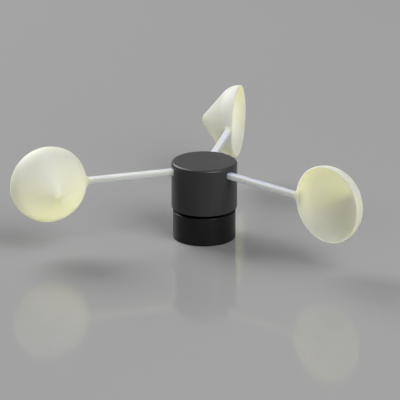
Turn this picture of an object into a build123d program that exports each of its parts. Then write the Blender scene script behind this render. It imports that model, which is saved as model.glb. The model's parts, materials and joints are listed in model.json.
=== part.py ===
from build123d import *
from math import cos, radians, sin, tan
import os

# Three-cup anemometer. Millimetres, +Z up along the spin axis, origin at the
# centre of the base's underside. The first cup arm lies along +Y and its cup
# opens towards +X, so the wind turns the rotor anticlockwise seen from above.

# --- Driving dimensions: outer form
HUB_RADIUS = 22.0
HUB_TOP_Z = 53.15
HUB_SKIRT_Z = 21.3
HUB_EDGE_ROUND = 1.8
HUB_WALL = 2.0
HUB_TOP_THICKNESS = 2.4
BASE_RADIUS = 21.05
BASE_HEIGHT = 19.2
BASE_WALL = 2.0
EDGE_BREAK = 0.3

# --- Driving dimensions: cup arms
ARM_BEARINGS = (90, 210, 330)
ARM_Z = 47.75
ARM_SIDE = 3.9
FRONT_EDGE_ROUND = 0.35
ARM_FOOT_REACH = 8.5
ARM_FOOT_LENGTH = 2.5
ARM_FOOT_WIDTH = 6.6
CUP_REACH = 107.0
CUP_RADIUS = 25.6
CUP_WALL = 1.2
CUP_SHOULDER_RADIUS = 13.6
CUP_CONE_ANGLE = 51.0
CUP_TIP_RADIUS = 6.0
CUP_RIM_LEAD = 1.95
CUP_LIP = 0.6
CUP_ROOT_FILLET = 3.2

# --- Driving dimensions: 5 x 16 x 5 mm ball bearings and the spindle
SHAFT_RADIUS = 2.5
BEARING_RADIUS = 8.0
BEARING_WIDTH = 5.0
BEARING_PITCH_RADIUS = 5.25
INNER_RING_RADIUS = 4.1
OUTER_RING_BORE = 6.4
BALL_RADIUS = 1.55
BALL_GAP = 0.08
BALL_COUNT = 7
CAGE_THICKNESS = 0.8
CAGE_WEB = 0.4
SHIELD_THICKNESS = 0.3
SHIELD_INSET = 0.1
LOWER_BEARING_Z = 14.0
UPPER_BEARING_Z = 33.0

# --- Driving dimensions: sensing and mounting
MAGNET_COUNT = 2
MAGNET_RADIUS = 2.0
MAGNET_LENGTH = 3.0
MAGNET_CIRCLE_RADIUS = 17.2
BOARD_Z = 12.6
BOARD_THICKNESS = 1.6
COVER_THICKNESS = 2.4
INSERT_COUNT = 3
INSERT_CIRCLE_RADIUS = 10.0
INSERT_BORE_RADIUS = 1.25
INSERT_RADIUS = 2.1
INSERT_LENGTH = 5.0
CABLE_BORE_RADIUS = 2.5

# --- Driving dimensions: fasteners
SCREW_SHANK_RADIUS = 1.05
SCREW_CLEARANCE_RADIUS = 1.35
SCREW_HEAD_RADIUS = 2.3
SCREW_HEAD_HEIGHT = 1.3
SOCKET_RADIUS = 1.0
SOCKET_DEPTH = 0.8
BOARD_SCREW_SHANK_RADIUS = 0.9
BOARD_SCREW_HEAD_RADIUS = 1.8
SCREW_COUNT = 3
RUNNING_GAP = 0.1

# --- Derived: rotor
hub_bore = HUB_RADIUS - HUB_WALL
hub_ceiling_z = HUB_TOP_Z - HUB_TOP_THICKNESS
arm_bottom_z = ARM_Z - ARM_SIDE / 2
cradle_wall = 1.2
cradle_width = ARM_FOOT_WIDTH + 2 * cradle_wall
cradle_inner_reach = ARM_FOOT_REACH - 0.5
boss_radius = 6.0
boss_bottom_z = 41.3
nose_radius = 3.9
shaft_top_z = 48.4
clamp_thickness = 2.4
clamp_bottom_z = arm_bottom_z - clamp_thickness
clamp_screw_circle = 13.5
clamp_screw_boss_radius = 2.6
clamp_screw_length = 5.6
magnet_ring_bottom_z = 22.0
magnet_ring_height = 3.8
magnet_ring_bore = 14.6
clip_thickness = 0.7
clip_groove_radius = 1.9
spacer_bottom_z = LOWER_BEARING_Z + BEARING_WIDTH
inner_spacer_radius = 3.6
outer_spacer_bore = 7.0

# --- Derived: base
shield_seat_depth = 0.5
base_bore = BASE_RADIUS - BASE_WALL
deck_thickness = 2.0
deck_z = BASE_HEIGHT - deck_thickness
tower_radius = 10.0
tower_top_z = 40.0
tower_lip_bore = 6.6
tower_lip_thickness = 1.5
circlip_thickness = 1.0
circlip_depth = 0.6
circlip_z = UPPER_BEARING_Z + BEARING_WIDTH
drip_lip_radius = 13.7
drip_lip_wall = 1.5
drip_lip_height = 4.4
cover_radius = 19.7
seal_thickness = 0.8
seal_bore = 18.3
seal_ledge_bore = 18.0
seal_ledge_thickness = 1.8
seal_top_z = COVER_THICKNESS + seal_thickness
cover_screw_circle = 15.2
cover_screw_boss_radius = 2.5
cover_screw_length = 9.0
counterbore_radius = 2.6
counterbore_depth = 1.45
insert_boss_radius = 3.2
insert_boss_height = 3.6
grommet_flange_radius = 6.0
grommet_neck_radius = 4.5
grommet_recess_depth = 1.0

# --- Derived: sensor board
board_top_z = BOARD_Z + BOARD_THICKNESS
board_radius = 17.5
board_bore = 10.6
standoff_radius = 2.1
standoff_circle = 14.4
board_screw_length = 3.6
connector_reach = 14.0
connector_height = 5.6
connector_floor = 1.0
pin_pitch = 2.0
pin_side = 0.5
pin_tail = 0.8
chip_length = 3.2
chip_width = 1.6
chip_reach = 14.2
capacitor_height = 1.3
capacitor_end_inset = 0.3
resistor_height = 0.6
resistor_end_inset = 0.15
lead_radius = 0.2
lead_pitch = 1.27
lead_reach = 13.4
hall_reach = 16.2
hall_top_z = 17.0
hall_thickness = 1.5
hall_depth = 3.0
hall_width = 4.1

cover_screw_bearings = [30 + 360 / SCREW_COUNT * i for i in range(SCREW_COUNT)]
clamp_screw_bearings = cover_screw_bearings
board_screw_bearings = [90 + 360 / SCREW_COUNT * i for i in range(SCREW_COUNT)]
insert_bearings = [90 + 360 / INSERT_COUNT * i for i in range(INSERT_COUNT)]

os.makedirs("parts", exist_ok=True)


# --- Helpers
def polar(reach, bearing):
    """Point at a reach from the spin axis and a bearing in degrees from +X."""
    return (reach * cos(radians(bearing)), reach * sin(radians(bearing)))


def ring_of(reach, bearings):
    """One location for each bearing on a circle about the spin axis."""
    return Locations(*[polar(reach, bearing) for bearing in bearings])


def level(height):
    """Horizontal sketch plane at a height above the base's underside."""
    return Plane.XY.offset(height)


def radial_frame(bearing, height):
    """Horizontal plane with local X pointing outwards along the bearing."""
    return Plane(
        origin=(0, 0, height),
        x_dir=(*polar(1, bearing), 0),
        z_dir=(0, 0, 1),
    )


def save(builder, name):
    """Label a finished piece and write its STEP file."""
    builder.part.label = name
    export_step(builder.part, f"parts/{name}.step")


def make_ring(name, inner, outer, bottom_z, top_z):
    """Plain tube or washer about the spin axis."""
    with BuildPart() as ring:
        with BuildSketch(level(bottom_z)):
            Circle(outer)
            Circle(inner, mode=Mode.SUBTRACT)
        extrude(amount=top_z - bottom_z)
    save(ring, name)


def make_screws(name, reach, bearings, seat_z, length, shank_radius, head_radius):
    """Group of socket-head screws driven upwards, heads below seat_z."""
    with BuildPart() as screws:
        with BuildSketch(level(seat_z)):
            with ring_of(reach, bearings):
                Circle(shank_radius)
        extrude(amount=length)
        with BuildSketch(level(seat_z - SCREW_HEAD_HEIGHT)):
            with ring_of(reach, bearings):
                Circle(head_radius)
        extrude(amount=SCREW_HEAD_HEIGHT)
        head_rims = screws.edges().filter_by(GeomType.CIRCLE).group_by(Axis.Z)[0]
        chamfer(head_rims, length=EDGE_BREAK)
        with BuildSketch(level(seat_z - SCREW_HEAD_HEIGHT)):
            with ring_of(reach, bearings):
                RegularPolygon(SOCKET_RADIUS, side_count=6)
        extrude(amount=SOCKET_DEPTH, mode=Mode.SUBTRACT)
    save(screws, name)


# --- Base: shell, deck, bearing tower and drip lip in one moulding
def make_base_housing():
    with BuildPart() as housing:
        with BuildSketch(level(0)):
            Circle(BASE_RADIUS)
            Circle(base_bore, mode=Mode.SUBTRACT)
        extrude(amount=BASE_HEIGHT)
        with BuildSketch(level(deck_z)):
            Circle(BASE_RADIUS)
        extrude(amount=deck_thickness)
        outer_rims = housing.edges().filter_by(GeomType.CIRCLE).sort_by(SortBy.RADIUS)[-2:]
        chamfer(outer_rims, length=EDGE_BREAK)
        with BuildSketch(level(seal_top_z)):
            Circle(base_bore)
            Circle(seal_ledge_bore, mode=Mode.SUBTRACT)
        extrude(amount=seal_ledge_thickness)
        with BuildSketch(level(BASE_HEIGHT)):
            Circle(drip_lip_radius)
            Circle(drip_lip_radius - drip_lip_wall, mode=Mode.SUBTRACT)
        extrude(amount=drip_lip_height)
        with BuildSketch(level(LOWER_BEARING_Z - tower_lip_thickness)):
            Circle(tower_radius)
        extrude(amount=tower_top_z - LOWER_BEARING_Z + tower_lip_thickness)
        with BuildSketch(level(COVER_THICKNESS)):
            with ring_of(cover_screw_circle, cover_screw_bearings):
                Circle(cover_screw_boss_radius)
        extrude(amount=deck_z - COVER_THICKNESS)
        with BuildSketch(level(board_top_z)):
            with ring_of(standoff_circle, board_screw_bearings):
                Circle(standoff_radius)
        extrude(amount=deck_z - board_top_z)
        # Cuts: cover recess, bearing seats, circlip groove, screw pilots
        with BuildSketch(level(0)):
            Circle(cover_radius + RUNNING_GAP)
            Circle(base_bore - EDGE_BREAK, mode=Mode.SUBTRACT)
        extrude(amount=seal_top_z, mode=Mode.SUBTRACT)
        with BuildSketch(level(LOWER_BEARING_Z - tower_lip_thickness)):
            Circle(tower_lip_bore)
        extrude(amount=tower_lip_thickness, mode=Mode.SUBTRACT)
        with BuildSketch(level(LOWER_BEARING_Z)):
            Circle(BEARING_RADIUS)
        extrude(amount=tower_top_z - LOWER_BEARING_Z, mode=Mode.SUBTRACT)
        with BuildSketch(level(circlip_z)):
            Circle(BEARING_RADIUS + circlip_depth)
        extrude(amount=circlip_thickness, mode=Mode.SUBTRACT)
        with BuildSketch(level(COVER_THICKNESS)):
            with ring_of(cover_screw_circle, cover_screw_bearings):
                Circle(SCREW_SHANK_RADIUS)
        extrude(amount=cover_screw_length, mode=Mode.SUBTRACT)
        with BuildSketch(level(board_top_z)):
            with ring_of(standoff_circle, board_screw_bearings):
                Circle(BOARD_SCREW_SHANK_RADIUS)
        extrude(amount=board_screw_length, mode=Mode.SUBTRACT)
    save(housing, "base_housing")


def make_base_cover():
    with BuildPart() as cover:
        with BuildSketch(level(0)):
            Circle(cover_radius)
        extrude(amount=COVER_THICKNESS)
        with BuildSketch(level(COVER_THICKNESS)):
            with ring_of(INSERT_CIRCLE_RADIUS, insert_bearings):
                Circle(insert_boss_radius)
        extrude(amount=insert_boss_height)
        with BuildSketch(level(0)):
            Circle(grommet_neck_radius)
            with ring_of(cover_screw_circle, cover_screw_bearings):
                Circle(SCREW_CLEARANCE_RADIUS)
        extrude(amount=COVER_THICKNESS, mode=Mode.SUBTRACT)
        with BuildSketch(level(0)):
            Circle(grommet_flange_radius + RUNNING_GAP)
        extrude(amount=grommet_recess_depth, mode=Mode.SUBTRACT)
        with BuildSketch(level(0)):
            with ring_of(cover_screw_circle, cover_screw_bearings):
                Circle(counterbore_radius)
        extrude(amount=counterbore_depth, mode=Mode.SUBTRACT)
        with BuildSketch(level(0)):
            with ring_of(INSERT_CIRCLE_RADIUS, insert_bearings):
                Circle(INSERT_RADIUS)
        extrude(amount=INSERT_LENGTH, mode=Mode.SUBTRACT)
    save(cover, "base_cover")


def make_mount_inserts():
    """Brass threaded inserts with a waist groove, flush with the underside."""
    groove_depth = 0.35
    groove_height = 0.8
    with BuildPart() as inserts:
        with BuildSketch(level(0)):
            with ring_of(INSERT_CIRCLE_RADIUS, insert_bearings):
                Circle(INSERT_RADIUS)
        extrude(amount=INSERT_LENGTH)
        with BuildSketch(level((INSERT_LENGTH - groove_height) / 2)):
            with ring_of(INSERT_CIRCLE_RADIUS, insert_bearings):
                Circle(INSERT_RADIUS)
                Circle(INSERT_RADIUS - groove_depth, mode=Mode.SUBTRACT)
        extrude(amount=groove_height, mode=Mode.SUBTRACT)
        with BuildSketch(level(0)):
            with ring_of(INSERT_CIRCLE_RADIUS, insert_bearings):
                Circle(INSERT_BORE_RADIUS)
        extrude(amount=INSERT_LENGTH, mode=Mode.SUBTRACT)
    save(inserts, "mount_inserts")


def make_cable_grommet():
    lower_flange_z = 0.2
    upper_flange_height = 1.2
    with BuildPart() as grommet:
        with BuildSketch(level(lower_flange_z)):
            Circle(grommet_flange_radius)
        extrude(amount=grommet_recess_depth - lower_flange_z)
        with BuildSketch(level(grommet_recess_depth)):
            Circle(grommet_neck_radius)
        extrude(amount=COVER_THICKNESS - grommet_recess_depth)
        with BuildSketch(level(COVER_THICKNESS)):
            Circle(grommet_flange_radius)
        extrude(amount=upper_flange_height)
        with BuildSketch(level(lower_flange_z)):
            Circle(CABLE_BORE_RADIUS)
        extrude(amount=COVER_THICKNESS + upper_flange_height, mode=Mode.SUBTRACT)
    save(grommet, "cable_grommet")


# --- Sensor board and what is soldered to it
def make_sensor_board():
    pin_places = [(connector_reach, pin_pitch * i) for i in (-1, 0, 1)]
    lead_places = [(lead_reach, lead_pitch * i) for i in (-1, 0, 1)]
    hole_gap = 0.15
    with BuildPart() as board:
        with BuildSketch(level(BOARD_Z)):
            Circle(board_radius)
            Circle(board_bore, mode=Mode.SUBTRACT)
            with ring_of(cover_screw_circle, cover_screw_bearings):
                Circle(cover_screw_boss_radius + 2 * RUNNING_GAP, mode=Mode.SUBTRACT)
            with ring_of(standoff_circle, board_screw_bearings):
                Circle(BOARD_SCREW_SHANK_RADIUS, mode=Mode.SUBTRACT)
        extrude(amount=BOARD_THICKNESS)
        with BuildSketch(radial_frame(180, BOARD_Z)):
            with Locations(*pin_places):
                Rectangle(pin_side + hole_gap, pin_side + hole_gap)
        extrude(amount=BOARD_THICKNESS, mode=Mode.SUBTRACT)
        with BuildSketch(radial_frame(0, BOARD_Z)):
            with Locations(*lead_places):
                Circle(lead_radius + hole_gap)
        extrude(amount=BOARD_THICKNESS, mode=Mode.SUBTRACT)
    save(board, "sensor_board")


def make_hall_sensor():
    """Small moulded sensor lying face up under the deck, near the magnets."""
    with BuildPart() as sensor:
        with BuildSketch(radial_frame(0, hall_top_z - hall_thickness)):
            with Locations((hall_reach, 0)):
                Rectangle(hall_depth, hall_width)
        extrude(amount=hall_thickness)
        chamfer(sensor.edges().group_by(Axis.Z)[-1], length=EDGE_BREAK)
    save(sensor, "hall_sensor")


def make_hall_leads():
    """Three bent legs from the sensor's inner side down through the board."""
    bend_radius = 0.5
    tail_length = 0.6
    lead_z = hall_top_z - hall_thickness / 2
    tail_z = BOARD_Z - tail_length
    start_reach = hall_reach - hall_depth / 2
    with BuildPart() as leads:
        for i in (-1, 0, 1):
            offset_y = lead_pitch * i
            with BuildLine() as path:
                FilletPolyline(
                    (start_reach, offset_y, lead_z),
                    (lead_reach, offset_y, lead_z),
                    (lead_reach, offset_y, tail_z),
                    radius=bend_radius,
                )
            with BuildSketch(Plane(origin=path.line @ 0, z_dir=path.line % 0)):
                Circle(lead_radius)
            sweep(path=path.line)
    save(leads, "hall_leads")


def make_board_block(name, bearing, height, end_inset):
    """Small surface-mounted component with its long side across the radius."""
    with BuildPart() as block:
        with BuildSketch(radial_frame(bearing, board_top_z)):
            with Locations((chip_reach, 0)):
                Rectangle(chip_width, chip_length)
        extrude(amount=height)
        top_ends = block.edges().group_by(Axis.Z)[-1].sort_by(SortBy.LENGTH)[:2]
        chamfer(top_ends, length=end_inset)
    save(block, name)


def make_signal_connector():
    """Three-way board header under the board, open downwards."""
    length = 7.9
    width = 4.5
    wall = 0.6
    with BuildPart() as header:
        with BuildSketch(radial_frame(180, BOARD_Z - connector_height)):
            with Locations((connector_reach, 0)):
                Rectangle(width, length)
        extrude(amount=connector_height)
        with BuildSketch(radial_frame(180, BOARD_Z - connector_height)):
            with Locations((connector_reach, 0)):
                Rectangle(width - 2 * wall, length - 2 * wall)
        extrude(amount=connector_height - connector_floor, mode=Mode.SUBTRACT)
        with BuildSketch(radial_frame(180, BOARD_Z - connector_floor)):
            with Locations(*[(connector_reach, pin_pitch * i) for i in (-1, 0, 1)]):
                Rectangle(pin_side, pin_side)
        extrude(amount=connector_floor, mode=Mode.SUBTRACT)
    save(header, "signal_connector")


def make_connector_pins():
    pin_bottom_z = BOARD_Z - connector_height + connector_floor
    pin_top_z = board_top_z + pin_tail
    with BuildPart() as pins:
        with BuildSketch(radial_frame(180, pin_bottom_z)):
            with Locations(*[(connector_reach, pin_pitch * i) for i in (-1, 0, 1)]):
                Rectangle(pin_side, pin_side)
        extrude(amount=pin_top_z - pin_bottom_z)
    save(pins, "connector_pins")


# --- Ball bearings, one set of pieces at each end of the tower
def make_outer_ring(name, bottom_z):
    middle_z = bottom_z + BEARING_WIDTH / 2
    groove_radius = BALL_RADIUS + BALL_GAP
    shield_z = bottom_z + SHIELD_INSET
    upper_shield_z = bottom_z + BEARING_WIDTH - SHIELD_INSET - SHIELD_THICKNESS
    with BuildPart() as ring:
        with BuildSketch(Plane.XZ):
            with Locations(((OUTER_RING_BORE + BEARING_RADIUS) / 2, middle_z)):
                Rectangle(BEARING_RADIUS - OUTER_RING_BORE, BEARING_WIDTH)
            with Locations((BEARING_PITCH_RADIUS, middle_z)):
                Circle(groove_radius, mode=Mode.SUBTRACT)
            for z in (shield_z, upper_shield_z):
                with Locations((OUTER_RING_BORE, z)):
                    Rectangle(
                        shield_seat_depth,
                        SHIELD_THICKNESS,
                        align=(Align.MIN, Align.MIN),
                        mode=Mode.SUBTRACT,
                    )
        revolve(axis=Axis.Z)
    save(ring, name)


def make_inner_ring(name, bottom_z):
    middle_z = bottom_z + BEARING_WIDTH / 2
    with BuildPart() as ring:
        with BuildSketch(Plane.XZ):
            with Locations(((SHAFT_RADIUS + INNER_RING_RADIUS) / 2, middle_z)):
                Rectangle(INNER_RING_RADIUS - SHAFT_RADIUS, BEARING_WIDTH)
            with Locations((BEARING_PITCH_RADIUS, middle_z)):
                Circle(BALL_RADIUS + BALL_GAP, mode=Mode.SUBTRACT)
        revolve(axis=Axis.Z)
    save(ring, name)


def make_balls(name, bottom_z):
    with BuildPart() as balls:
        with Locations((0, 0, bottom_z + BEARING_WIDTH / 2)):
            with PolarLocations(BEARING_PITCH_RADIUS, BALL_COUNT):
                Sphere(BALL_RADIUS)
    save(balls, name)


def make_cage(name, bottom_z):
    """Crown cage: a ribbon ring with round pockets open on one side."""
    middle_z = bottom_z + BEARING_WIDTH / 2
    pocket_radius = BALL_RADIUS + BALL_GAP
    cage_bottom_z = middle_z - pocket_radius - CAGE_WEB
    cage_top_z = middle_z + pocket_radius / 2
    with BuildPart() as cage:
        with BuildSketch(level(cage_bottom_z)):
            Circle(BEARING_PITCH_RADIUS + CAGE_THICKNESS / 2)
            Circle(BEARING_PITCH_RADIUS - CAGE_THICKNESS / 2, mode=Mode.SUBTRACT)
        extrude(amount=cage_top_z - cage_bottom_z)
        with Locations((0, 0, middle_z)):
            with PolarLocations(BEARING_PITCH_RADIUS, BALL_COUNT):
                Sphere(pocket_radius, mode=Mode.SUBTRACT)
    save(cage, name)


def make_bearing_shields():
    """Four thin washers snapped into the outer rings, clear of the inner ones."""
    inner_gap = 0.25
    shield_bore = INNER_RING_RADIUS + inner_gap
    shield_rim = OUTER_RING_BORE + shield_seat_depth
    far_face = BEARING_WIDTH - SHIELD_INSET - SHIELD_THICKNESS
    with BuildPart() as shields:
        for bearing_z in (LOWER_BEARING_Z, UPPER_BEARING_Z):
            for face in (SHIELD_INSET, far_face):
                with BuildSketch(level(bearing_z + face)):
                    Circle(shield_rim)
                    Circle(shield_bore, mode=Mode.SUBTRACT)
                extrude(amount=SHIELD_THICKNESS)
    save(shields, "bearing_shields")


def make_bearing_circlip():
    """Internal retaining ring with two plier holes beside its gap."""
    lug_reach = 6.9
    lug_bearing = 24
    lug_radius = 1.2
    plier_hole_radius = 0.6
    clip_bore = 7.1
    gap_length = 6.4
    gap_width = 3.0
    with BuildPart() as clip:
        with BuildSketch(level(circlip_z)):
            Circle(BEARING_RADIUS + circlip_depth - RUNNING_GAP / 2)
            Circle(clip_bore, mode=Mode.SUBTRACT)
            with ring_of(lug_reach, (-lug_bearing, lug_bearing)):
                Circle(lug_radius)
            with Locations((BEARING_RADIUS, 0)):
                Rectangle(gap_length, gap_width, mode=Mode.SUBTRACT)
            with ring_of(lug_reach, (-lug_bearing, lug_bearing)):
                Circle(plier_hole_radius, mode=Mode.SUBTRACT)
        extrude(amount=circlip_thickness)
    save(clip, "bearing_circlip")


# --- Rotor: spindle, cap, clamp and magnets
def make_rotor_shaft():
    shaft_bottom_z = 11.4
    tip_chamfer = 0.4
    with BuildPart() as shaft:
        with BuildSketch(level(shaft_bottom_z)):
            Circle(SHAFT_RADIUS)
        extrude(amount=shaft_top_z - shaft_bottom_z)
        chamfer(shaft.edges().filter_by(GeomType.CIRCLE), length=tip_chamfer)
        with BuildSketch(level(LOWER_BEARING_Z - clip_thickness - RUNNING_GAP)):
            Circle(SHAFT_RADIUS)
            Circle(clip_groove_radius, mode=Mode.SUBTRACT)
        extrude(amount=clip_thickness + RUNNING_GAP, mode=Mode.SUBTRACT)
    save(shaft, "rotor_shaft")


def make_shaft_clip():
    """Open e-clip in the shaft's groove, under the lower inner ring."""
    clip_radius = 4.3
    mouth_length = 5.3
    mouth_width = 2.6
    relief_radius = 0.8
    relief_reach = 2.4
    relief_bearings = (130, 230)
    with BuildPart() as clip:
        with BuildSketch(level(LOWER_BEARING_Z - clip_thickness)):
            Circle(clip_radius)
            Circle(clip_groove_radius, mode=Mode.SUBTRACT)
            with Locations((clip_radius / 2, 0)):
                Rectangle(mouth_length, mouth_width, mode=Mode.SUBTRACT)
            with ring_of(relief_reach, relief_bearings):
                Circle(relief_radius, mode=Mode.SUBTRACT)
        extrude(amount=clip_thickness)
    save(clip, "shaft_clip")


def make_rotor_hub():
    socket_side = ARM_SIDE + 2 * RUNNING_GAP
    cradle_length = hub_bore - cradle_inner_reach + HUB_WALL / 2
    foot_pocket_length = ARM_FOOT_LENGTH + 2 * RUNNING_GAP
    foot_pocket_start = ARM_FOOT_REACH - RUNNING_GAP
    channel_top_z = ARM_Z + socket_side / 2
    with BuildPart() as hub:
        with BuildSketch(level(HUB_SKIRT_Z)):
            Circle(HUB_RADIUS)
        extrude(amount=HUB_TOP_Z - HUB_SKIRT_Z)
        fillet(hub.edges().filter_by(GeomType.CIRCLE).group_by(Axis.Z)[-1], radius=HUB_EDGE_ROUND)
        chamfer(hub.edges().filter_by(GeomType.CIRCLE).group_by(Axis.Z)[0], length=EDGE_BREAK)
        with BuildSketch(level(HUB_SKIRT_Z)):
            Circle(hub_bore)
        extrude(amount=hub_ceiling_z - HUB_SKIRT_Z, mode=Mode.SUBTRACT)
        with BuildSketch(level(boss_bottom_z)):
            Circle(boss_radius)
        extrude(amount=hub_ceiling_z - boss_bottom_z)
        with BuildSketch(level(UPPER_BEARING_Z + BEARING_WIDTH)):
            Circle(nose_radius)
        extrude(amount=boss_bottom_z - UPPER_BEARING_Z - BEARING_WIDTH)
        for bearing in ARM_BEARINGS:
            with BuildSketch(radial_frame(bearing, arm_bottom_z)):
                with Locations((cradle_inner_reach, 0)):
                    Rectangle(cradle_length, cradle_width, align=(Align.MIN, Align.CENTER))
            extrude(amount=hub_ceiling_z - arm_bottom_z)
        with BuildSketch(level(arm_bottom_z)):
            with ring_of(clamp_screw_circle, clamp_screw_bearings):
                Circle(clamp_screw_boss_radius)
        extrude(amount=hub_ceiling_z - arm_bottom_z)
        # Cuts: spindle bore, arm channels and sockets, foot pockets, pilots
        with BuildSketch(level(UPPER_BEARING_Z + BEARING_WIDTH)):
            Circle(SHAFT_RADIUS)
        extrude(amount=shaft_top_z - UPPER_BEARING_Z - BEARING_WIDTH, mode=Mode.SUBTRACT)
        for bearing in ARM_BEARINGS:
            with BuildSketch(radial_frame(bearing, ARM_Z - socket_side / 2)):
                with Locations((foot_pocket_start, 0)):
                    Rectangle(HUB_RADIUS, socket_side, align=(Align.MIN, Align.CENTER))
                with Locations((foot_pocket_start, 0)):
                    Rectangle(
                        foot_pocket_length,
                        ARM_FOOT_WIDTH + 2 * RUNNING_GAP,
                        align=(Align.MIN, Align.CENTER),
                    )
            extrude(amount=channel_top_z - ARM_Z + socket_side / 2, mode=Mode.SUBTRACT)
        with BuildSketch(level(arm_bottom_z)):
            with ring_of(clamp_screw_circle, clamp_screw_bearings):
                Circle(SCREW_SHANK_RADIUS)
        extrude(amount=clamp_screw_length - clamp_thickness, mode=Mode.SUBTRACT)
    save(hub, "rotor_hub")


def make_arm_clamp_plate():
    plate_radius = 19.0
    plate_bore = 6.3
    with BuildPart() as plate:
        with BuildSketch(level(clamp_bottom_z)):
            Circle(plate_radius)
            Circle(plate_bore, mode=Mode.SUBTRACT)
            with ring_of(clamp_screw_circle, clamp_screw_bearings):
                Circle(SCREW_CLEARANCE_RADIUS, mode=Mode.SUBTRACT)
        extrude(amount=clamp_thickness)
    save(plate, "arm_clamp_plate")


def make_magnet_ring():
    with BuildPart() as carrier:
        with BuildSketch(level(magnet_ring_bottom_z)):
            Circle(hub_bore)
            Circle(magnet_ring_bore, mode=Mode.SUBTRACT)
        extrude(amount=magnet_ring_height)
        with BuildSketch(level(magnet_ring_bottom_z)):
            with PolarLocations(MAGNET_CIRCLE_RADIUS, MAGNET_COUNT):
                Circle(MAGNET_RADIUS)
        extrude(amount=MAGNET_LENGTH, mode=Mode.SUBTRACT)
    save(carrier, "magnet_ring")


def make_magnets():
    with BuildPart() as magnets:
        with BuildSketch(level(magnet_ring_bottom_z)):
            with PolarLocations(MAGNET_CIRCLE_RADIUS, MAGNET_COUNT):
                Circle(MAGNET_RADIUS)
        extrude(amount=MAGNET_LENGTH)
    save(magnets, "magnets")


# --- Cup arms
def cup_half_outline(inset, overrun):
    """Closed half section of the cup, in a radial frame's own coordinates.
    A straight lip and a rounded shoulder run into a cone with a blunt tip.
    Inset shrinks the form evenly; overrun carries the lip past the rim."""
    turn = radians(CUP_CONE_ANGLE)
    radius = CUP_RADIUS - inset
    shoulder = CUP_SHOULDER_RADIUS - inset
    tip = CUP_TIP_RADIUS - inset
    rim_y = -CUP_RIM_LEAD
    corner_y = rim_y + CUP_LIP + shoulder * tan(turn / 2)
    apex_y = corner_y + radius / tan(turn)
    tip_centre_y = apex_y - tip / sin(turn)
    cone_end = (CUP_REACH + tip * cos(turn), tip_centre_y + tip * sin(turn))
    with BuildLine() as outline:
        wall_line = FilletPolyline(
            (CUP_REACH + radius, rim_y - overrun),
            (CUP_REACH + radius, corner_y),
            cone_end,
            radius=shoulder,
        )
        tip_arc = TangentArc(
            wall_line @ 1,
            (CUP_REACH, tip_centre_y + tip),
            tangent=wall_line % 1,
        )
        Polyline(tip_arc @ 1, (CUP_REACH, rim_y - overrun), wall_line @ 0)
    return outline.edges()


def make_cup_arm(name, bearing):
    """Cup and square arm moulded in one, with a wide foot at the inner end."""
    frame = radial_frame(bearing, ARM_Z)
    cup_axis = Axis(frame.from_local_coords((CUP_REACH, 0, 0)), frame.y_dir)
    tangent_axis = Axis(frame.origin, frame.y_dir)
    arm_length = CUP_REACH - ARM_FOOT_REACH
    cavity_overrun = 1.0
    rim_band = 0.001
    with BuildPart() as arm:
        with BuildSketch(frame):
            with Locations((ARM_FOOT_REACH, 0)):
                Rectangle(arm_length, ARM_SIDE, align=(Align.MIN, Align.CENTER))
        extrude(amount=ARM_SIDE / 2, both=True)
        with BuildSketch(frame):
            make_face(cup_half_outline(0, 0))
        revolve(axis=cup_axis)
        fillet(root_edges(arm, frame), radius=CUP_ROOT_FILLET)
        with BuildSketch(frame):
            make_face(cup_half_outline(CUP_WALL, cavity_overrun))
        revolve(axis=cup_axis, mode=Mode.SUBTRACT)
        front_edges = arm.edges().filter_by_position(
            tangent_axis,
            -CUP_RIM_LEAD - rim_band,
            -CUP_RIM_LEAD + rim_band,
        )
        fillet([edge for edge in front_edges if not arm_end_edge(edge)], radius=FRONT_EDGE_ROUND)
        with BuildSketch(frame):
            with Locations((ARM_FOOT_REACH, 0)):
                Rectangle(ARM_FOOT_LENGTH, ARM_FOOT_WIDTH, align=(Align.MIN, Align.CENTER))
        extrude(amount=ARM_SIDE / 2, both=True)
    save(arm, name)


def arm_end_edge(edge):
    """True for the short straight edge across the arm's inner end."""
    return edge.geom_type == GeomType.LINE and edge.length < 2 * ARM_SIDE


def root_edges(arm, frame):
    """Edges where the arm's top, bottom and back run into the cup."""
    root_x = CUP_REACH - CUP_RADIUS
    reach_band = 1.5
    front_margin = 0.1
    front_y = front_margin - ARM_SIDE / 2
    found = []
    for edge in arm.edges():
        centre = frame.to_local_coords(edge.center())
        near_root = abs(centre.X - root_x) < reach_band
        inside_arm = abs(centre.Z) < ARM_SIDE and front_y < centre.Y < ARM_SIDE
        if near_root and inside_arm:
            found.append(edge)
    return found


make_base_housing()
make_base_cover()
make_mount_inserts()
make_cable_grommet()
make_ring("cover_seal", seal_bore, cover_radius, COVER_THICKNESS, seal_top_z)
make_screws(
    "cover_screws",
    cover_screw_circle,
    cover_screw_bearings,
    counterbore_depth,
    cover_screw_length,
    SCREW_SHANK_RADIUS,
    SCREW_HEAD_RADIUS,
)
make_sensor_board()
make_screws(
    "board_screws",
    standoff_circle,
    board_screw_bearings,
    BOARD_Z,
    BOARD_THICKNESS + board_screw_length,
    BOARD_SCREW_SHANK_RADIUS,
    BOARD_SCREW_HEAD_RADIUS,
)
make_hall_sensor()
make_hall_leads()
make_board_block("filter_capacitor", 110, capacitor_height, capacitor_end_inset)
make_board_block("pull_up_resistor", 250, resistor_height, resistor_end_inset)
make_signal_connector()
make_connector_pins()

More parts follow.
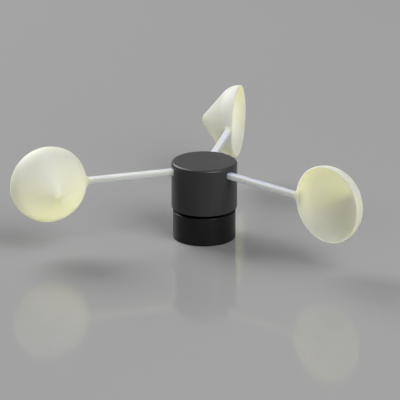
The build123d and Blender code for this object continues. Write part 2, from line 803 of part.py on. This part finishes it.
for position, bearing_z in (("lower", LOWER_BEARING_Z), ("upper", UPPER_BEARING_Z)):
    make_outer_ring(f"{position}_bearing_outer_ring", bearing_z)
    make_inner_ring(f"{position}_bearing_inner_ring", bearing_z)
    make_balls(f"{position}_bearing_balls", bearing_z)
    make_cage(f"{position}_bearing_cage", bearing_z)
make_bearing_shields()
make_bearing_circlip()
outer_spacer_radius = BEARING_RADIUS - RUNNING_GAP / 2
make_ring("outer_spacer", outer_spacer_bore, outer_spacer_radius, spacer_bottom_z, UPPER_BEARING_Z)
make_ring("inner_spacer", SHAFT_RADIUS, inner_spacer_radius, spacer_bottom_z, UPPER_BEARING_Z)

make_rotor_shaft()
make_shaft_clip()
make_rotor_hub()
make_arm_clamp_plate()
make_screws(
    "clamp_screws",
    clamp_screw_circle,
    clamp_screw_bearings,
    clamp_bottom_z,
    clamp_screw_length,
    SCREW_SHANK_RADIUS,
    SCREW_HEAD_RADIUS,
)
make_magnet_ring()
make_magnets()
for number, bearing in enumerate(ARM_BEARINGS, start=1):
    make_cup_arm(f"cup_arm_{number}", bearing)
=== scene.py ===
import bpy
import json
from math import cos, radians, sin
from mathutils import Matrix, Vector

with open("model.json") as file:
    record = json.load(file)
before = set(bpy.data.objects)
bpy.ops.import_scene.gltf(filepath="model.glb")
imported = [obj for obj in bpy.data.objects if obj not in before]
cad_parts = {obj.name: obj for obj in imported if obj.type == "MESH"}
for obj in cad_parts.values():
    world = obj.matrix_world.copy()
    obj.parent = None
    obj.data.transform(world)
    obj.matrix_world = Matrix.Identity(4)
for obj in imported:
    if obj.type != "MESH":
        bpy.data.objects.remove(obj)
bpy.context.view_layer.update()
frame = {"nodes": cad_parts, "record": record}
nodes = frame["nodes"]
scene = bpy.context.scene

MICROMETRE = 1e-6
MILLIMETRE = 1e-3

# --- Camera: angles in degrees, distance and aim in metres, lens in millimetres.
# At azimuth 0 it looks along +Y
CAMERA_AZIMUTH = 12.15
CAMERA_ELEVATION = 19.37
CAMERA_DISTANCE = 1.678
CAMERA_LENS = 225.35
CAMERA_AIM = Vector((-0.0028, -0.0006, 0.0255))

# --- Lamps: bearing is in degrees anticlockwise from +X, seen from above
FRONT_LIGHT = {"bearing": -38, "height": 42, "distance": 3.0, "side": 2.0, "power": 82}
REAR_LIGHT = {"bearing": 144, "height": 41, "distance": 3.0, "side": 2.0, "power": 86}
FILL_LIGHT = {"bearing": 225, "height": 15, "distance": 3.0, "side": 2.5, "power": 40}

# --- World: strengths towards -Y and +Y, which fall to a share of themselves at the zenith,
# starting where a direction's upward part passes WORLD_DIMS_ABOVE
WORLD_FRONT_LIGHT = 0.05
WORLD_REAR_LIGHT = 0.41
WORLD_ZENITH_SHARE = 0.5
WORLD_DIMS_ABOVE = 0.35

# --- Floor: a large square with a very faint cloud
FLOOR_HALF_SIDE = 6.0
FLOOR_CLOUD_SIZE = 0.6
FLOOR_TONES = ((0.2, (0.298, 0.298, 0.298)), (0.8, (0.304, 0.304, 0.304)))
FLOOR_ROUGHNESS = 0.10
FLOOR_IOR = 1.42

# --- The span that a noise's values mostly fill
NOISE_LOW = 0.3
NOISE_HIGH = 0.7

# --- Moulded plastics: broad flow marks, and patches of different gloss
FLOW_SIZE = 26 * MILLIMETRE
FLOW_DISTORTION = 0.6
FLOW_RELIEF = 60 * MICROMETRE
GLOSS_PATCH_SIZE = 7 * MILLIMETRE

# --- Cup arms: a darker, bluer painted shade near the axis, standing in for how light scatters in the thick arms; the plastic's own cup tone further out
CUP_TONE = (0.67, 0.67, 0.51)
ARM_PAINTED_SHADE = (0.46, 0.48, 0.54)
ARM_SHADE_FADE_START = 76 * MILLIMETRE
ARM_SHADE_GONE_AT = 84 * MILLIMETRE
CUP_SCATTER_DEPTH = 12 * MILLIMETRE
CUP_SCATTER_RADII = (1.0, 0.96, 0.48)
CUP_ROUGHNESS = (0.48, 0.58)
CUP_GRAIN_SIZE = 0.5 * MILLIMETRE
CUP_GRAIN_DEPTH = 3 * MICROMETRE

# --- Turned metals: fine rings round the axis, and faint stains a shade darker
RING_SIZE = 0.5 * MILLIMETRE
RING_STRETCH = (0.02, 0.02, 1)
RING_DEPTH = 4 * MICROMETRE
STAIN_SIZE = 5 * MILLIMETRE
STAIN_SHADE = 0.86

# --- Circuit board: faint tracks under a clear mask
TRACK_PITCH = 3.2 * MILLIMETRE
TRACK_GAP = 0.05
TRACK_DEPTH = 30 * MICROMETRE
TRACK_TONE = (0.010, 0.090, 0.030, 1)
TRACK_TONE_DARKER = (0.008, 0.075, 0.026, 1)
TRACK_GAP_TONE = (0.030, 0.17, 0.055, 1)
BOARD_PATCH_SIZE = 1.2 * MILLIMETRE
BOARD_ROUGHNESS = (0.3, 0.45)

# --- Moulded slots: tone, tone spread, roughness range, grain in mm, grain depth in micrometres
MOULDED_SLOTS = {
    "hub_plastic": ((0.036, 0.036, 0.037), 0.06, (0.285, 0.35), 0.35, 12),
    "base_plastic": ((0.009, 0.009, 0.0093), 0.08, (0.28, 0.38), 0.35, 10),
    "cover_plastic": ((0.020, 0.020, 0.021), 0.08, (0.45, 0.6), 0.35, 12),
    "inner_plastic": ((0.05, 0.05, 0.055), 0.08, (0.45, 0.6), 0.4, 10),
    "cage_nylon": ((0.52, 0.44, 0.28), 0.05, (0.35, 0.5), 0.3, 6),
    "connector_nylon": ((0.74, 0.72, 0.64), 0.03, (0.35, 0.5), 0.3, 6),
    "chip_plastic": ((0.022, 0.022, 0.024), 0.1, (0.5, 0.65), 0.15, 8),
    "capacitor_ceramic": ((0.36, 0.25, 0.15), 0.1, (0.4, 0.6), 0.2, 5),
    "seal_rubber": ((0.014, 0.014, 0.014), 0.12, (0.62, 0.8), 0.2, 14),
}

# --- The two large black plastics reflect a little less than plastic usually does
SPECULAR_LEVELS = {"hub_plastic": 0.3, "base_plastic": 0.25}

# --- Turned slots: tone, roughness range
TURNED_SLOTS = {
    "bearing_steel": ((0.60, 0.60, 0.61), (0.10, 0.24)),
    "shaft_steel": ((0.56, 0.56, 0.57), (0.16, 0.32)),
    "spring_steel": ((0.26, 0.26, 0.28), (0.28, 0.45)),
    "screw_steel": ((0.50, 0.50, 0.51), (0.22, 0.4)),
    "spacer_aluminium": ((0.74, 0.74, 0.76), (0.25, 0.42)),
    "insert_brass": ((0.72, 0.50, 0.20), (0.2, 0.38)),
    "magnet_nickel": ((0.66, 0.64, 0.60), (0.12, 0.26)),
    "lead_tin": ((0.70, 0.70, 0.68), (0.22, 0.4)),
}


# --- Material building blocks
def spread_over(tree, value, low, high, start, stop):
    """Add a node that spreads the values from start to stop over low to high."""
    node = tree.nodes.new("ShaderNodeMapRange")
    node.inputs["From Min"].default_value = start
    node.inputs["From Max"].default_value = stop
    node.inputs["To Min"].default_value = low
    node.inputs["To Max"].default_value = high
    tree.links.new(value, node.inputs["Value"])
    return node.outputs["Result"]


class Finish:
    """One node material with a principled surface, built up step by step.
    All patterns run on object coordinates, so they turn with the parts."""

    def __init__(self, name, **surface):
        self.material = bpy.data.materials.new(name)
        self.material.use_nodes = True
        self.tree = self.material.node_tree
        self.tree.nodes.clear()
        self.output = self.tree.nodes.new("ShaderNodeOutputMaterial")
        self.surface = self.tree.nodes.new("ShaderNodeBsdfPrincipled")
        self.coords = self.tree.nodes.new("ShaderNodeTexCoord")
        self.join(self.surface.outputs["BSDF"], self.output.inputs["Surface"])
        self.relief = None
        for socket, value in surface.items():
            self.surface.inputs[socket.replace("_", " ")].default_value = value

    def join(self, source, target):
        self.tree.links.new(source, target)

    def place(self, scale=(1, 1, 1)):
        """Object coordinates, multiplied by a scale for each axis."""
        mapping = self.tree.nodes.new("ShaderNodeMapping")
        mapping.inputs["Scale"].default_value = scale
        self.join(self.coords.outputs["Object"], mapping.inputs["Vector"])
        return mapping.outputs["Vector"]

    def noise(self, size, detail=2.0, stretch=(1, 1, 1), distortion=0.0):
        """Noise whose features are about size metres across."""
        node = self.tree.nodes.new("ShaderNodeTexNoise")
        node.inputs["Scale"].default_value = 1 / size
        node.inputs["Detail"].default_value = detail
        node.inputs["Distortion"].default_value = distortion
        self.join(self.place(stretch), node.inputs["Vector"])
        return node.outputs["Fac"]

    def flow(self):
        """Broad, slightly twisted clouds, as left by plastic filling a mould."""
        return self.noise(FLOW_SIZE, detail=3, distortion=FLOW_DISTORTION)

    def distance_from_axis(self):
        """Distance in metres from the spin axis."""
        length = self.tree.nodes.new("ShaderNodeVectorMath")
        length.operation = "LENGTH"
        self.join(self.place((1, 1, 0)), length.inputs[0])
        return length.outputs["Value"]

    def colour(self, value, *stops):
        """Surface colour from a value through two (position, colour) stops."""
        ramp = self.tree.nodes.new("ShaderNodeValToRGB")
        for element, (position, tone) in zip(ramp.color_ramp.elements, stops):
            element.position = position
            element.color = (*tone, 1)
        self.join(value, ramp.inputs["Fac"])
        self.join(ramp.outputs["Color"], self.surface.inputs["Base Color"])

    def roughness(self, noise, low, high):
        """Roughness that varies with a noise between two levels."""
        level = spread_over(self.tree, noise, low, high, NOISE_LOW, NOISE_HIGH)
        self.join(level, self.surface.inputs["Roughness"])

    def bump(self, value, depth):
        """Relief of about depth metres, added over any earlier relief."""
        node = self.tree.nodes.new("ShaderNodeBump")
        node.inputs["Strength"].default_value = 1
        node.inputs["Distance"].default_value = depth
        self.join(value, node.inputs["Height"])
        if self.relief is not None:
            self.join(self.relief, node.inputs["Normal"])
        self.relief = node.outputs["Normal"]
        self.join(self.relief, self.surface.inputs["Normal"])


def scaled(tone, factor):
    return tuple(channel * factor for channel in tone)


def moulded_plastic(name, tone, spread, roughness, grain_size, grain_depth, **surface):
    """Injection moulded plastic: faint flow clouds, fine grain, uneven gloss."""
    finish = Finish(name, **surface)
    flow = finish.flow()
    darker = (NOISE_LOW, scaled(tone, 1 - spread))
    lighter = (NOISE_HIGH, scaled(tone, 1 + spread))
    finish.colour(flow, darker, lighter)
    finish.roughness(finish.noise(GLOSS_PATCH_SIZE, detail=4), *roughness)
    finish.bump(flow, FLOW_RELIEF)
    finish.bump(finish.noise(grain_size), grain_depth)
    return finish


def cup_finish():
    """Translucent off-white plastic, creamy; the arms get a darker, bluer painted shade for light
    scattering in their thicker bars.
    """
    finish = Finish(
        "cup_plastic",
        Subsurface_Weight=1.0,
        Subsurface_Radius=CUP_SCATTER_RADII,
        Subsurface_Scale=CUP_SCATTER_DEPTH,
    )
    reach = finish.distance_from_axis()
    share_without_arm_shade = spread_over(finish.tree, reach, 0, 1, ARM_SHADE_FADE_START, ARM_SHADE_GONE_AT)
    # Painted shade: the arm end of this ramp darkens and blues the same plastic where the arms are.
    finish.colour(share_without_arm_shade, (0.0, ARM_PAINTED_SHADE), (1.0, CUP_TONE))
    finish.roughness(finish.noise(GLOSS_PATCH_SIZE, detail=4), *CUP_ROUGHNESS)
    finish.bump(finish.flow(), FLOW_RELIEF)
    finish.bump(finish.noise(CUP_GRAIN_SIZE), CUP_GRAIN_DEPTH)
    return finish


def turned_metal(name, tone, roughness):
    """Lathe-turned metal with fine rings round the spin axis."""
    finish = Finish(name, Metallic=1.0)
    rings = finish.noise(RING_SIZE, detail=3, stretch=RING_STRETCH)
    stain = finish.noise(STAIN_SIZE, detail=4)
    finish.colour(stain, (NOISE_LOW, scaled(tone, STAIN_SHADE)), (NOISE_HIGH, tone))
    finish.roughness(rings, *roughness)
    finish.bump(rings, RING_DEPTH)
    return finish


def board_finish():
    """Green solder mask over glass laminate, with tracks showing through."""
    finish = Finish("board_laminate", Coat_Weight=0.35, Coat_Roughness=0.2)
    tracks = finish.tree.nodes.new("ShaderNodeTexBrick")
    tracks.inputs["Scale"].default_value = 1 / TRACK_PITCH
    tracks.inputs["Mortar Size"].default_value = TRACK_GAP
    tracks.inputs["Color1"].default_value = TRACK_TONE
    tracks.inputs["Color2"].default_value = TRACK_TONE_DARKER
    tracks.inputs["Mortar"].default_value = TRACK_GAP_TONE
    finish.join(finish.place(), tracks.inputs["Vector"])
    finish.join(tracks.outputs["Color"], finish.surface.inputs["Base Color"])
    finish.roughness(finish.noise(BOARD_PATCH_SIZE, detail=3), *BOARD_ROUGHNESS)
    finish.bump(tracks.outputs["Fac"], TRACK_DEPTH)
    return finish


def make_finishes():
    """One finish for each material slot of the record."""
    finishes = {"cup_plastic": cup_finish(), "board_laminate": board_finish()}
    for slot, (tone, spread, roughness, grain, depth) in MOULDED_SLOTS.items():
        surface = {}
        if slot in SPECULAR_LEVELS:
            surface["Specular_IOR_Level"] = SPECULAR_LEVELS[slot]
        finishes[slot] = moulded_plastic(
            slot, tone, spread, roughness, grain * MILLIMETRE, depth * MICROMETRE, **surface
        )
    for slot, (tone, roughness) in TURNED_SLOTS.items():
        finishes[slot] = turned_metal(slot, tone, roughness)
    return finishes


def apply_finishes():
    """Give each CAD node its slot's material. Returns the cup arms."""
    finishes = make_finishes()
    cup_arms = []
    for row in frame["record"]["subparts"]:
        piece = nodes[row["node"]]
        piece.data.materials.clear()
        piece.data.materials.append(finishes[row["material_slot"]].material)
        if row["material_slot"] == "cup_plastic":
            cup_arms.append(piece)
    return cup_arms


# --- Floor, world, lamps and camera
def make_floor():
    mesh = bpy.data.meshes.new("floor")
    side = FLOOR_HALF_SIDE
    corners = [(-side, -side, 0), (side, -side, 0), (side, side, 0), (-side, side, 0)]
    mesh.from_pydata(corners, [], [(0, 1, 2, 3)])
    floor = bpy.data.objects.new("floor", mesh)
    scene.collection.objects.link(floor)
    finish = Finish("studio_floor", IOR=FLOOR_IOR, Roughness=FLOOR_ROUGHNESS)
    finish.colour(finish.noise(FLOOR_CLOUD_SIZE), *FLOOR_TONES)
    mesh.materials.append(finish.material)


def make_world():
    """Soft surround: brighter behind the object, dimmer in front and overhead."""
    world = bpy.data.worlds.new("studio")
    world.use_nodes = True
    scene.world = world
    tree = world.node_tree
    tree.nodes.clear()
    output = tree.nodes.new("ShaderNodeOutputWorld")
    background = tree.nodes.new("ShaderNodeBackground")
    coords = tree.nodes.new("ShaderNodeTexCoord")
    split = tree.nodes.new("ShaderNodeSeparateXYZ")
    tree.links.new(coords.outputs["Generated"], split.inputs["Vector"])
    level = spread_over(tree, split.outputs["Y"], WORLD_FRONT_LIGHT, WORLD_REAR_LIGHT, start=-1, stop=1)
    share = spread_over(tree, split.outputs["Z"], 1, WORLD_ZENITH_SHARE, start=WORLD_DIMS_ABOVE, stop=1)
    strength = tree.nodes.new("ShaderNodeMath")
    strength.operation = "MULTIPLY"
    tree.links.new(level, strength.inputs[0])
    tree.links.new(share, strength.inputs[1])
    tree.links.new(strength.outputs["Value"], background.inputs["Strength"])
    tree.links.new(background.outputs["Background"], output.inputs["Surface"])


def direction(bearing, height):
    """Unit vector from a bearing, anticlockwise from +X, and a height above level."""
    level = cos(radians(height))
    return Vector((
        level * cos(radians(bearing)),
        level * sin(radians(bearing)),
        sin(radians(height)),
    ))


def set_up(holder, target, away, distance):
    """Put a lamp or camera at a distance from its target, looking back at it."""
    holder.location = target + away * distance
    holder.rotation_mode = "QUATERNION"
    holder.rotation_quaternion = away.to_track_quat("Z", "Y")
    scene.collection.objects.link(holder)


def make_lamp(name, bearing, height, distance, side, power, pieces=()):
    """Square soft lamp aimed at the frame's origin, hidden from the camera.
    If pieces are given, it lights only them."""
    lamp = bpy.data.lights.new(name, "AREA")
    lamp.shape = "SQUARE"
    lamp.size = side
    lamp.energy = power
    holder = bpy.data.objects.new(name, lamp)
    holder.visible_camera = False
    set_up(holder, Vector((0, 0, 0)), direction(bearing, height), distance)
    if pieces:
        lit = bpy.data.collections.new(name + "_pieces")
        for piece in pieces:
            lit.objects.link(piece)
        holder.light_linking.receiver_collection = lit


def make_camera():
    """Camera aimed at CAMERA_AIM. An azimuth of 0 is a bearing of -90 degrees."""
    data = bpy.data.cameras.new("camera")
    data.lens = CAMERA_LENS
    camera = bpy.data.objects.new("camera", data)
    away = direction(CAMERA_AZIMUTH - 90, CAMERA_ELEVATION)
    set_up(camera, CAMERA_AIM, away, CAMERA_DISTANCE)
    scene.camera = camera


cup_arms = apply_finishes()
make_camera()
make_floor()
make_world()
make_lamp("front_lamp", **FRONT_LIGHT)
make_lamp("rear_lamp", **REAR_LIGHT)
make_lamp("fill_lamp", **FILL_LIGHT, pieces=cup_arms)
scene.view_settings.view_transform = "Standard"
